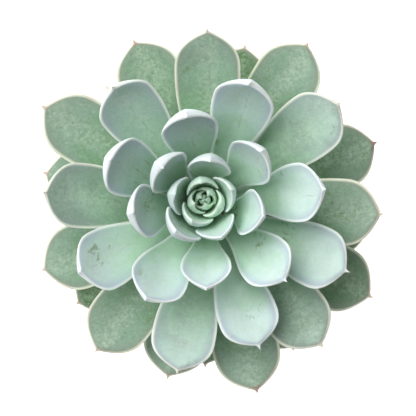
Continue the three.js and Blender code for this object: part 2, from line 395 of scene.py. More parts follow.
def add_piece(name, mesh, slot, *nodes):
    """An object for a finished mesh, which rides on the one body and stands for its CAD nodes."""
    piece = bpy.data.objects.new(name, mesh)
    bpy.context.scene.collection.objects.link(piece)
    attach(piece, "root")
    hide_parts(*nodes)


def pot_inner_radius(height):
    """The inside of the pot's wall at a height."""
    bottom = POT_FOOT_RADIUS - POT_WALL
    top = collar_radius - POT_COLLAR_STEP - POT_WALL
    return bottom + (top - bottom) * height / pot_height


# Each corner of the wall's section with the radius that the mould gives it
POT_CORNERS = [
    (POT_DRAIN_RADIUS, 0.0, 0.8 * MM),
    (POT_FOOT_RADIUS, 0.0, 1.6 * MM),
    (collar_radius - POT_COLLAR_STEP - POT_CORNER, pot_height - POT_COLLAR_DEPTH, 0.9 * MM),
    (collar_radius - POT_CORNER / 2, pot_height - POT_COLLAR_DEPTH, 1.4 * MM),
    (collar_radius, pot_height, 1.9 * MM),
    (pot_inner_radius(pot_height), pot_height, 1.9 * MM),
    (pot_inner_radius(POT_FLOOR), POT_FLOOR, 2.0 * MM),
    (POT_DRAIN_RADIUS, POT_FLOOR, 0.8 * MM),
]
pot_outline = []
for number, (radius, height, corner_radius) in enumerate(POT_CORNERS):
    before = POT_CORNERS[number - 1][:2]
    after = POT_CORNERS[(number + 1) % len(POT_CORNERS)][:2]
    pot_outline.extend(rounded_corner(before, (radius, height), after, corner_radius))
pot_mesh = turned_mesh("clay_pot", pot_outline, POT_SIDES, closed=True)
pot_mesh.materials.append(make_clay())
add_piece("clay_pot", pot_mesh, "clay", "pot")

# --- Potting mix
# Coarse, free-draining mix of bark, coir and grit. It was poured round the stem and pressed
# down by hand, and it ends a finger's width below the pot's lip.
MIX_GAP = 0.3 * MM
MIX_TOP = 64 * MM
MIX_CROWN = 1.2 * MM
MIX_LUMP = 1.4 * MM
MIX_RINGS = 26
MIX_SIDES = 96
GRIT_DENSITY = 260000.0  # grains on a square metre
GRIT_SIZE = 1.15 * MM

mix_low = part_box("soil")[0]


def make_mix_material():
    """Damp dark fibre and crumbs."""
    material, tree, shader = new_material("potting_mix")
    place = Field(add_node(tree, "ShaderNodeTexCoord").outputs["Object"])
    patches, specks, grain = weather(tree, place, 130.0, 900.0, 0.3)
    colour = tint(patches, (0.035, 0.022, 0.014, 1.0), (0.085, 0.055, 0.034, 1.0))
    colour = tint(specks * 0.6, colour, (0.19, 0.13, 0.08, 1.0))
    feed(shader.inputs["Base Color"], colour)
    feed(shader.inputs["Roughness"], 0.72 + grain * 0.25)
    feed(shader.inputs["Normal"], bumped(tree, grain + specks, 0.9, 0.6 * MM))
    return material


def make_grit_material():
    """Broken pumice, brick and bark: every grain has a shade of its own."""
    material, tree, shader = new_material("grit")
    place = Field(add_node(tree, "ShaderNodeTexCoord").outputs["Object"])
    patches, specks, grain = weather(tree, place, 500.0, 3000.0, 0.3)
    shade = Field(
        add_node(tree, "ShaderNodeAttribute", attribute_name="grain_shade").outputs["Fac"]
    )
    colour = tint(ease(shade, 0.2, 0.5), (0.07, 0.045, 0.028, 1.0), (0.30, 0.20, 0.13, 1.0))
    colour = tint(ease(shade, 0.55, 0.8), colour, (0.58, 0.53, 0.46, 1.0))
    colour = tint(patches * 0.3, colour, (0.16, 0.11, 0.08, 1.0))
    feed(shader.inputs["Base Color"], colour)
    feed(shader.inputs["Roughness"], 0.78 + grain * 0.2)
    feed(shader.inputs["Normal"], bumped(tree, grain - specks * 0.5, 0.5, 0.2 * MM))
    return material


def make_mix_tree(mix_material, grit_material):
    """Lumps the top of the mix, and scatters grains of grit on it."""
    tree = bpy.data.node_groups.new("pour_mix", "GeometryNodeTree")
    tree.interface.new_socket(name="Mix", in_out="INPUT", socket_type="NodeSocketGeometry")
    for name in ("Surface Height", "Lump Height", "Grain Size", "Grain Density"):
        tree.interface.new_socket(name=name, in_out="INPUT", socket_type="NodeSocketFloat")
    tree.interface.new_socket(name="Mix", in_out="OUTPUT", socket_type="NodeSocketGeometry")
    taken = add_node(tree, "NodeGroupInput")
    surface_height = Field(taken.outputs["Surface Height"])
    place = Field(add_node(tree, "GeometryNodeInputPosition").outputs["Position"])
    height = Field(add_node(tree, "ShaderNodeSeparateXYZ", {0: place}).outputs["Z"])
    on_top = calculate("GREATER_THAN", height, surface_height)
    lumps = noise(tree, place, 260.0, 4.0, 0.6) - 0.62
    rise = add_node(
        tree,
        "ShaderNodeCombineXYZ",
        {"Z": lumps * Field(taken.outputs["Lump Height"]) * on_top},
    )
    lumped = add_node(
        tree,
        "GeometryNodeSetPosition",
        {"Geometry": Field(taken.outputs["Mix"]), "Offset": Field(rise.outputs["Vector"])},
    )
    body = add_node(
        tree,
        "GeometryNodeSetMaterial",
        {"Geometry": Field(lumped.outputs["Geometry"]), "Material": mix_material},
    )
    scattered = add_node(
        tree,
        "GeometryNodeDistributePointsOnFaces",
        {
            "Mesh": Field(lumped.outputs["Geometry"]),
            "Selection": on_top,
            "Density": Field(taken.outputs["Grain Density"]),
            "Seed": 7,
        },
    )
    stone = add_node(tree, "GeometryNodeMeshIcoSphere", {"Radius": 1.0, "Subdivisions": 2})
    chips = noise(tree, place, 1.3, 1.0) * 0.9 + 0.45
    chipped = add_node(
        tree,
        "GeometryNodeSetPosition",
        {
            "Geometry": Field(stone.outputs["Mesh"]),
            "Position": Field(
                add_node(
                    tree, "ShaderNodeVectorMath", {0: place, "Scale": chips}, operation="SCALE"
                ).outputs["Vector"]
            ),
        },
    )
    turn = add_node(
        tree,
        "FunctionNodeRandomValue",
        {"Max": (2 * math.pi, 2 * math.pi, 2 * math.pi), "Seed": 11},
        data_type="FLOAT_VECTOR",
    )
    spread = add_node(
        tree,
        "FunctionNodeRandomValue",
        {"Min": (0.35, 0.35, 0.3), "Max": (1.3, 1.1, 0.8), "Seed": 12},
        data_type="FLOAT_VECTOR",
    )
    sized = add_node(
        tree,
        "ShaderNodeVectorMath",
        {0: Field(spread.outputs["Value"]), "Scale": Field(taken.outputs["Grain Size"])},
        operation="SCALE",
    )
    placed = add_node(
        tree,
        "GeometryNodeInstanceOnPoints",
        {
            "Points": Field(scattered.outputs["Points"]),
            "Instance": Field(chipped.outputs["Geometry"]),
            "Scale": Field(sized.outputs["Vector"]),
        },
    )
    feed(placed.inputs["Rotation"], Field(turn.outputs["Value"]))
    shade = add_node(tree, "FunctionNodeRandomValue", {"Seed": 13}, data_type="FLOAT")
    shaded = add_node(
        tree,
        "GeometryNodeStoreNamedAttribute",
        {
            "Geometry": Field(placed.outputs["Instances"]),
            "Name": "grain_shade",
            "Value": Field(shade.outputs[1]),
        },
        data_type="FLOAT",
        domain="INSTANCE",
    )
    grains = add_node(
        tree, "GeometryNodeRealizeInstances", {"Geometry": Field(shaded.outputs["Geometry"])}
    )
    finished = add_node(
        tree,
        "GeometryNodeSetMaterial",
        {"Geometry": Field(grains.outputs["Geometry"]), "Material": grit_material},
    )
    joined = tree.nodes.new("GeometryNodeJoinGeometry")
    tree.links.new(finished.outputs["Geometry"], joined.inputs["Geometry"])
    tree.links.new(body.outputs["Geometry"], joined.inputs["Geometry"])
    given = add_node(tree, "NodeGroupOutput")
    feed(given.inputs["Mix"], Field(joined.outputs["Geometry"]))
    return tree


def grown_mesh(name, tree, sizes, start_mesh=None):
    """The plain mesh that a Geometry Nodes tree makes with these sizes."""
    source = bpy.data.objects.new(name, start_mesh or bpy.data.meshes.new(name))
    bpy.context.scene.collection.objects.link(source)
    modifier = source.modifiers.new("grown", "NODES")
    modifier.node_group = tree
    for item in tree.interface.items_tree:
        if item.in_out == "INPUT" and item.name in sizes:
            modifier[item.identifier] = sizes[item.name]
    evaluated = source.evaluated_get(bpy.context.evaluated_depsgraph_get())
    mesh = bpy.data.meshes.new_from_object(evaluated)
    mesh.name = name
    bpy.data.objects.remove(source)
    return mesh


mix_outline = [
    (0.0, mix_low.z),
    (pot_inner_radius(mix_low.z) - MIX_GAP, mix_low.z),
    (pot_inner_radius(MIX_TOP) - MIX_GAP, MIX_TOP - 1 * MM),
]
for ring in range(MIX_RINGS):
    inwards = (ring + 0.5) / MIX_RINGS
    radius = (pot_inner_radius(MIX_TOP) - MIX_GAP) * (1 - inwards)
    mix_outline.append((radius, MIX_TOP + MIX_CROWN * inwards ** 2))
mix_outline.append((0.0, MIX_TOP + MIX_CROWN))
mix_sizes = {
    "Surface Height": MIX_TOP - 0.1 * MM,
    "Lump Height": MIX_LUMP,
    "Grain Size": GRIT_SIZE,
    "Grain Density": GRIT_DENSITY,
}
mix_tree = make_mix_tree(make_mix_material(), make_grit_material())
mix_mesh = grown_mesh(
    "potting_mix", mix_tree, mix_sizes, turned_mesh("mix_body", mix_outline, MIX_SIDES, closed=False)
)
add_piece("potting_mix", mix_mesh, "soil", "soil")

# --- Stem
# A short corky stem that leans a little towards the light. Every leaf that dropped off left a
# flat oval scar, and the top ends in the soft dome that new leaves grow from.
STEM_RADIUS = 5 * MM
STEM_LEAFY_RADIUS = 5.6 * MM
STEM_LEAFY_BOTTOM = 76 * MM
STEM_DOME_DROP = 4 * MM
STEM_LEAN_X = -2.9 * MM
STEM_LEAN_Y = 4.0 * MM
STEM_LEAN_START = 65.5 * MM
STEM_SIDES = 96
STEM_RINGS = 110
SCAR_PITCH = 0.5 * MM
SCAR_HALF_WIDTH = 2.1 * MM
SCAR_HALF_HEIGHT = 0.9 * MM
SCAR_DEPTH = 0.35 * MM
GOLDEN_ANGLE = math.radians(137.5)

stem_low, stem_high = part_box("stem")
stem_top = stem_high.z


def stem_axis(height):
    """How far the stem's middle has leant over at a height, from where it leaves the mix."""
    rise = max(0.0, (height - STEM_LEAN_START) / (stem_top - STEM_LEAN_START)) ** 1.5
    return STEM_LEAN_X * rise, STEM_LEAN_Y * rise


stem_x = stem_high.x - STEM_LEAFY_RADIUS - stem_axis(STEM_LEAFY_BOTTOM)[0]
stem_y = stem_low.y + STEM_RADIUS


def dome_height(radius):
    """The height of the growing tip at a distance from its middle."""
    return stem_top - STEM_DOME_DROP * (radius / STEM_LEAFY_RADIUS) ** 2


def scar_depth(angle, height):
    """How deep the nearest leaf scar is here, from 0 to 1."""
    deepest = 0.0
    nearest = round((stem_top - height) / SCAR_PITCH)
    for number in range(nearest - 2, nearest + 3):
        rise = (stem_top - number * SCAR_PITCH - height) / SCAR_HALF_HEIGHT
        turn = (angle - number * GOLDEN_ANGLE + math.pi) % (2 * math.pi) - math.pi
        reach = math.hypot(rise, turn * STEM_RADIUS / SCAR_HALF_WIDTH)
        deepest = max(deepest, 1 - min(1.0, reach) ** 4)
    return deepest


def make_bark():
    """Dry cork: tan and grey, cracked along, greener near the leaves."""
    material, tree, shader = new_material("corky_bark")
    place = Field(add_node(tree, "ShaderNodeTexCoord").outputs["Object"])
    patches, specks, grain = weather(tree, place, 260.0, 2400.0, 0.25)
    height = Field(add_node(tree, "ShaderNodeSeparateXYZ", {0: place}).outputs["Z"])
    stretched = add_node(
        tree, "ShaderNodeMapping", {"Vector": place, "Scale": (900.0, 900.0, 180.0)}
    )
    cracks = noise(tree, Field(stretched.outputs["Vector"]), 1.0, 4.0, 0.65)
    scar = Field(add_node(tree, "ShaderNodeAttribute", attribute_name="scar").outputs["Fac"])
    colour = tint(patches, (0.24, 0.18, 0.11, 1.0), (0.40, 0.33, 0.22, 1.0))
    colour = tint(ease(cracks, 0.55, 0.75) * 0.6, colour, (0.10, 0.075, 0.05, 1.0))
    colour = tint(scar * 0.55, colour, (0.46, 0.40, 0.29, 1.0))
    colour = tint(ease(height, 72 * MM, 90 * MM) * 0.75, colour, (0.34, 0.44, 0.27, 1.0))
    colour = tint(specks * 0.4, colour, (0.14, 0.10, 0.07, 1.0))
    feed(shader.inputs["Base Color"], colour)
    feed(shader.inputs["Roughness"], 0.7 + grain * 0.2)
    feed(shader.inputs["Normal"], bumped(tree, grain - cracks, 0.6, 0.3 * MM))
    return material


def make_stem_mesh():
    """The stem's skin as rings, sunk at the scars and closed at both ends."""
    outline = [(0.0, stem_low.z)]
    side_top = dome_height(STEM_LEAFY_RADIUS)
    for ring in range(STEM_RINGS + 1):
        height = stem_low.z + (side_top - stem_low.z) * ring / STEM_RINGS
        swelling = min(1.0, max(0.0, (height - STEM_LEAN_START) / (STEM_LEAFY_BOTTOM - STEM_LEAN_START)))
        outline.append((STEM_RADIUS + (STEM_LEAFY_RADIUS - STEM_RADIUS) * swelling, height))
    for share in (0.9, 0.75, 0.55, 0.3):
        outline.append((STEM_LEAFY_RADIUS * share, dome_height(STEM_LEAFY_RADIUS * share)))
    outline.append((0.0, stem_top))
    mesh = turned_mesh("stem", outline, STEM_SIDES, closed=False)
    scars = mesh.attributes.new("scar", "FLOAT", "POINT")
    for vertex, scar in zip(mesh.vertices, scars.data):
        x, y, height = vertex.co
        if STEM_LEAN_START < height < side_top and math.hypot(x, y) > STEM_RADIUS / 2:
            scar.value = scar_depth(math.atan2(y, x), height)
        sunk = 1 - scar.value * SCAR_DEPTH / STEM_RADIUS
        lean_x, lean_y = stem_axis(height)
        vertex.co = (x * sunk + lean_x + stem_x, y * sunk + lean_y + stem_y, height)
    return mesh


stem_mesh = make_stem_mesh()
stem_mesh.materials.append(make_bark())
add_piece("stem", stem_mesh, "bark", "stem")

# --- Leaves
# Fifty-one fleshy leaves, each grown from the stem a golden angle round from the one before.
# A leaf is a flat-topped, round-bellied spoon with a pale margin, and ends in a small soft point.
LEAF_COUNT = 51
FIRST_AZIMUTH = 10.5  # this and the other angles of the rule are in degrees
TIP_LEAVES = 12
TIP_FIRST_RADIUS = 0.55 * MM
TIP_LEAF_PITCH = 0.46 * MM
TIP_LEAF_GAP = 0.5 * MM
SIDE_LEAF_PITCH = 0.5 * MM
SIDE_LEAF_GAP = 1.1 * MM
LEAF_MAX_WIDTH = 23.8 * MM
WIDTH_HEAD_START = 11
WIDTH_PACE = 22
OLD_LEAF_NARROWING = 0.12
BUD_SCALE = 0.46
BUD_LENGTH = 12 * MM
LENGTH_GAIN = 49 * MM
LENGTH_POWER = 1.25
OLD_LEAF_SHORTENING = 7 * MM
BUD_THICKNESS = 1 * MM
MAX_THICKNESS = 4.7 * MM
BASE_THICKNESS = 2.2 * MM
BUD_BEND_RADIUS = 2 * MM
NEWEST_FLATTER = 2 * MM  # added to the radius above for the newest leaves
BEND_RADIUS_GAIN = 50 * MM
LEVEL_ANGLE = 4
UPRIGHT_GAIN = 88
YOUNG_CURL = 20
OLD_CURL = 14
LIGHT_AZIMUTH = 125
LIGHT_LEAN = 11
HOOK_START = 0.6
BUD_HOOK = 54
BUD_CLOSING = 3
HOOK_MEAN = 11
HOOK_SWING = 36
HOOK_SHARE = 0.1
BUD_BLUNTNESS = 1.3
OLD_BLUNTNESS = 3.6
YOUNG_POINT_LENGTH = 0.9 * MM
YOUNG_POINT_RADIUS = 0.25 * MM
POINT_LENGTH_GAIN = 1.6 * MM
POINT_RADIUS_GAIN = 0.85 * MM
FOOT_WIDTH_SHARE = 0.28
WIDEST_PART = 0.72  # the part of the blade, from its foot, where the leaf is widest
FLARED_WIDEST_GAIN = 0.06
NEWEST_WIDEST_DROP = 0.24
FLARE = 1.3
FLARE_GAIN = 1.6
RIM_THICKNESS = 0.28 * MM
BELLY_DEPTH = 0.62
SWELL_SHARE = 0.16
LEAF_SIDES = 40
LEAF_RINGS = 56

# How single leaves have grown off the rule, by number from 0: turned and raised, in degrees,
# grown longer or shorter, how much painted shade darkens the leaf where it stands in shadow, and how far
# the sun has browned the point
LEAF_TURN = {
    0: -18, 3: -12, 5: -5, 6: -14, 7: -13, 8: -10, 10: -12, 12: 5, 13: -12, 14: 6, 15: -3, 16: -8,
    18: -10, 20: -3, 21: -11, 23: -3, 26: -11, 27: 6, 28: -1, 31: -4, 33: 4, 34: -8, 35: 6, 36: 4,
    37: 1, 38: 5, 39: -2, 40: 4, 41: 8, 42: -4, 43: 5, 50: -7,
}
LEAF_RISE = {
    2: 1, 4: -2, 5: -2.6, 6: -1, 7: -1, 9: -1, 10: 5, 11: -2, 12: 10, 13: 8, 14: -4, 16: 1,
    17: 2, 19: -4, 20: 1, 21: 4, 22: -1, 23: -7, 24: -2, 25: -3, 26: 4, 27: -12, 33: -2, 34: 5, 36: -2,
}
LEAF_GROWTH = {
    26: 0.975, 27: 0.98, 34: 0.95, 35: 1.04, 36: 1.02, 37: 1.03, 38: 0.97, 39: 1.02, 40: 1.03, 42: 1.04,
    44: 0.97, 50: 1.05,
}
# Painted shade: these leaves face away from the lamp or lie under the leaves above, and their colour is
# painted darker by this share
LEAF_PAINTED_SHADE = {
    14: 0.2, 16: 0.1, 17: 0.2, 19: 0.38, 22: 0.38, 24: 0.32, 27: 0.35, 30: 0.1, 39: 0.55, 40: 0.3, 42: 0.3,
    45: 0.85, 46: 0.9, 47: 0.8, 48: 0.9, 49: 0.9, 50: 0.8,
}
LEAF_SCORCH = {31: 0.5, 33: 0.5, 36: 0.9, 39: 0.6, 40: 0.8, 41: 0.5, 42: 1.0, 43: 0.7, 44: 0.8}

LEAF_INPUTS = (
    "Length", "Width", "Thickness", "Foot Thickness", "Bend Radius", "Base Angle", "Curl", "Hook",
    "Bluntness", "Azimuth", "Age", "Chance", "Painted Shade", "Scorch", "Number",
)


def power_of(value, power):
    """A power that keeps the sign of its value."""
    return calculate("SIGN", value) * calculate("ABSOLUTE", value) ** power


def store(tree, geometry, name, value, kind="FLOAT"):
    """Keeps a value on every point of the leaf, for its material to read."""
    node = add_node(
        tree,
        "GeometryNodeStoreNamedAttribute",
        {"Geometry": geometry, "Name": name, "Value": value},
        data_type=kind,
        domain="POINT",
    )
    return Field(node.outputs["Geometry"])


def midrib_angle(size, along):
    """The slope of the midrib, which grows towards the point and hooks over at its end."""
    past = calculate("MAXIMUM", (along - HOOK_START) / (1.0 - HOOK_START), 0.0)
    return size["Base Angle"] + size["Curl"] * along * along + size["Hook"] * past * past


def part_along(row):
    """The part of the length that a row of the grid, from 0 to 1, lies at: closer at the point."""
    return 1.0 - calculate("MAXIMUM", 1.0 - row, 0.0) ** 1.5


def walk_midrib(tree, size, row):
    """The midrib's distance out and up at a row, summed up ring by ring from the foot."""
    line = add_node(tree, "GeometryNodeMeshLine", {"Count": LEAF_RINGS + 1})
    index = Field(add_node(tree, "GeometryNodeInputIndex").outputs["Index"])
    here = part_along(index / LEAF_RINGS)
    before = part_along(calculate("MAXIMUM", index - 1.0, 0.0) / LEAF_RINGS)
    angle = midrib_angle(size, (here + before) * 0.5)
    stride = (here - before) * size["Length"]
    sums = []
    for step in (calculate("COSINE", angle) * stride, calculate("SINE", angle) * stride):
        total = add_node(tree, "GeometryNodeAccumulateField", {"Value": step})
        sampled = add_node(
            tree,
            "GeometryNodeSampleIndex",
            {
                "Geometry": Field(line.outputs["Mesh"]),
                "Value": Field(total.outputs["Leading"]),
                "Index": calculate("ROUND", row * LEAF_RINGS),
            },
        )
        sums.append(Field(sampled.outputs["Value"]))
    return sums


def make_leaf_tree(material):
    """Grows one leaf: a ball's grid is laid round it, from its foot at one pole to its point."""
    tree = bpy.data.node_groups.new("grow_leaf", "GeometryNodeTree")
    tree.interface.new_socket(name="Start", in_out="INPUT", socket_type="NodeSocketGeometry")
    for name in LEAF_INPUTS:
        tree.interface.new_socket(name=name, in_out="INPUT", socket_type="NodeSocketFloat")
    tree.interface.new_socket(name="Foot", in_out="INPUT", socket_type="NodeSocketVector")
    tree.interface.new_socket(name="Leaf", in_out="OUTPUT", socket_type="NodeSocketGeometry")
    taken = add_node(tree, "NodeGroupInput")
    size = {name: Field(taken.outputs[name]) for name in (*LEAF_INPUTS, "Foot")}
    length = size["Length"]
    width = size["Width"]
    bend_radius = size["Bend Radius"]

    ball = add_node(tree, "GeometryNodeMeshUVSphere", {"Segments": LEAF_SIDES, "Rings": LEAF_RINGS})
    position = Field(add_node(tree, "GeometryNodeInputPosition").outputs["Position"])
    split = add_node(tree, "ShaderNodeSeparateXYZ", {0: position})
    around = calculate("ARCTAN2", Field(split.outputs["Y"]), Field(split.outputs["X"]))
    height = calculate("MINIMUM", calculate("MAXIMUM", Field(split.outputs["Z"]), -1.0), 1.0)
    row = calculate("ARCCOSINE", height) / math.pi
    along = part_along(row)
    closing = calculate("MINIMUM", row * LEAF_RINGS / 1.2, 1.0) ** 0.5

    # The outline: a narrow foot, widest past the middle, blunt, with a small soft point. The
    # newest leaves are widest lower down, and so taper more
    is_grown = ease(size["Age"], 0.15, 0.4)
    point_length = YOUNG_POINT_LENGTH + is_grown * POINT_LENGTH_GAIN
    point_radius = YOUNG_POINT_RADIUS + is_grown * POINT_RADIUS_GAIN
    blade = calculate("MINIMUM", along * length / (length - point_length * 0.8), 1.0)
    is_flared = ease(size["Age"], 0.12, 0.3) - ease(size["Age"], 0.5, 0.68)
    flare = FLARE + is_flared * FLARE_GAIN
    is_newest = 1.0 - ease(size["Age"], 0.05, 0.11)
    widest = WIDEST_PART + is_flared * FLARED_WIDEST_GAIN - is_newest * NEWEST_WIDEST_DROP
    grown = calculate("SINE", calculate("MINIMUM", blade / widest, 1.0) * (math.pi / 2)) ** flare
    past = calculate("MAXIMUM", (blade - widest) / (1.0 - widest), 0.0)
    shoulder = (1.0 - past ** size["Bluntness"]) ** 1.1
    left_over = calculate("MINIMUM", (1.0 - along) * length / point_length, 1.0)
    spike = point_radius * left_over ** 1.8 + 0.1 * MM * left_over ** 0.5
    half_blade = width * 0.5 * (FOOT_WIDTH_SHARE + (1 - FOOT_WIDTH_SHARE) * grown) * shoulder
    half_width = half_blade + spike

    # The section: nearly flat and a little dished above, round below with a soft keel
    foot_share = size["Foot Thickness"]
    fullest = foot_share + (size["Thickness"] - foot_share) * ease(blade, 0.0, 0.5)
    thinning = (1.0 - calculate("MAXIMUM", (blade - 0.5) / 0.5, 0.0) ** 4.4) ** 0.62
    thickness = ((fullest * thinning) ** 2.0 + (spike * 1.6) ** 2.0) ** 0.5
    side = 0.0 - power_of(calculate("COSINE", around), 0.8)
    upwards = calculate("SINE", around)
    above = calculate("MAXIMUM", upwards, 0.0)
    below = calculate("MAXIMUM", 0.0 - upwards, 0.0)
    from_middle = calculate("ABSOLUTE", side)
    groove = ease(blade, 0.15, 0.5) * (1.0 - ease(from_middle, 0.0, 0.12)) * 0.05
    dome = (1.0 - from_middle ** 2.5) ** 0.9
    belly = (1.0 - from_middle ** 2.2) ** 0.8
    keel = (1.0 - from_middle) * 1.2
    keel_share = ease(blade, 0.4, 0.85) * (0.75 - ease(size["Age"], 0.2, 0.7) * 0.5)
    belly = belly + (keel - belly) * keel_share
    rim = ease(half_width, 0.0, 1.5 * MM) * RIM_THICKNESS
    flatness = 0.12 + ease(size["Age"], 0.1, 0.35) * 0.14
    top = (dome * flatness - groove) * calculate("GREATER_THAN", upwards, 0.0)
    bottom = belly * BELLY_DEPTH * calculate("LESS_THAN", upwards, 0.0)
    raised = (thickness * (top - bottom) + rim * (above ** 0.5 - below ** 0.5)) * closing
    across = half_width * side * closing

    # The blade is bent round the bud, and its midrib curls upwards towards the point
    bend = across / bend_radius
    lift = bend_radius - (bend_radius - raised) * calculate("COSINE", bend)
    angle = midrib_angle(size, along)
    midrib_out, midrib_up = walk_midrib(tree, size, row)
    out = midrib_out - lift * calculate("SINE", angle)
    up = midrib_up + lift * calculate("COSINE", angle)
    sideways = (bend_radius - raised) * calculate("SINE", bend)
    point = add_node(tree, "ShaderNodeCombineXYZ", {"X": out, "Y": sideways, "Z": up})
    flat_place = add_node(
        tree,
        "ShaderNodeCombineXYZ",
        {"X": across, "Y": along * length, "Z": size["Number"] + upwards * 0.0004},
    )

    leaf = Field(ball.outputs["Mesh"])
    leaf = store(tree, leaf, "along", along)
    leaf = store(tree, leaf, "margin", half_width * (1.0 - calculate("ABSOLUTE", side)))
    leaf = store(tree, leaf, "to_point", (1.0 - along) * length)
    leaf = store(tree, leaf, "face", upwards)
    leaf = store(tree, leaf, "age", size["Age"])
    leaf = store(tree, leaf, "chance", size["Chance"])
    leaf = store(tree, leaf, "painted_shade", size["Painted Shade"])
    leaf = store(tree, leaf, "scorch", size["Scorch"])
    leaf = store(tree, leaf, "blade", Field(flat_place.outputs["Vector"]), "FLOAT_VECTOR")
    shaped = add_node(
        tree,
        "GeometryNodeSetPosition",
        {"Geometry": leaf, "Position": Field(point.outputs["Vector"])},
    )

    # Living leaves are never quite even: a gentle swell over the blade, and a slight waviness
    normal = Field(add_node(tree, "GeometryNodeInputNormal").outputs["Normal"])
    swell_place = add_node(
        tree,
        "ShaderNodeVectorMath",
        {0: Field(flat_place.outputs["Vector"]), 1: (1.0, 1.0, 0.37)},
        operation="MULTIPLY",
    )
    swell = noise(tree, Field(swell_place.outputs["Vector"]), 85.0, 1.5, 0.45) - 0.5
    amount = swell * size["Thickness"] * SWELL_SHARE * closing
    offset = add_node(
        tree, "ShaderNodeVectorMath", {0: normal, "Scale": amount}, operation="SCALE"
    )
    uneven = add_node(
        tree,
        "GeometryNodeSetPosition",
        {"Geometry": Field(shaped.outputs["Geometry"]), "Offset": Field(offset.outputs["Vector"])},
    )
    turn = add_node(tree, "ShaderNodeCombineXYZ", {"Z": size["Azimuth"]})
    stood = add_node(
        tree,
        "GeometryNodeTransform",
        {
            "Geometry": Field(uneven.outputs["Geometry"]),
            "Translation": size["Foot"],
        },
    )
    feed(stood.inputs["Rotation"], Field(turn.outputs["Vector"]))
    smooth = add_node(
        tree, "GeometryNodeSetShadeSmooth", {"Geometry": Field(stood.outputs["Geometry"])}
    )
    real = add_node(
        tree, "GeometryNodeRealizeInstances", {"Geometry": Field(smooth.outputs["Geometry"])}
    )
    finished = add_node(
        tree,
        "GeometryNodeSetMaterial",
        {"Geometry": Field(real.outputs["Geometry"]), "Material": material},
    )
    given = add_node(tree, "NodeGroupOutput")
    feed(given.inputs["Leaf"], Field(finished.outputs["Geometry"]))
    return tree


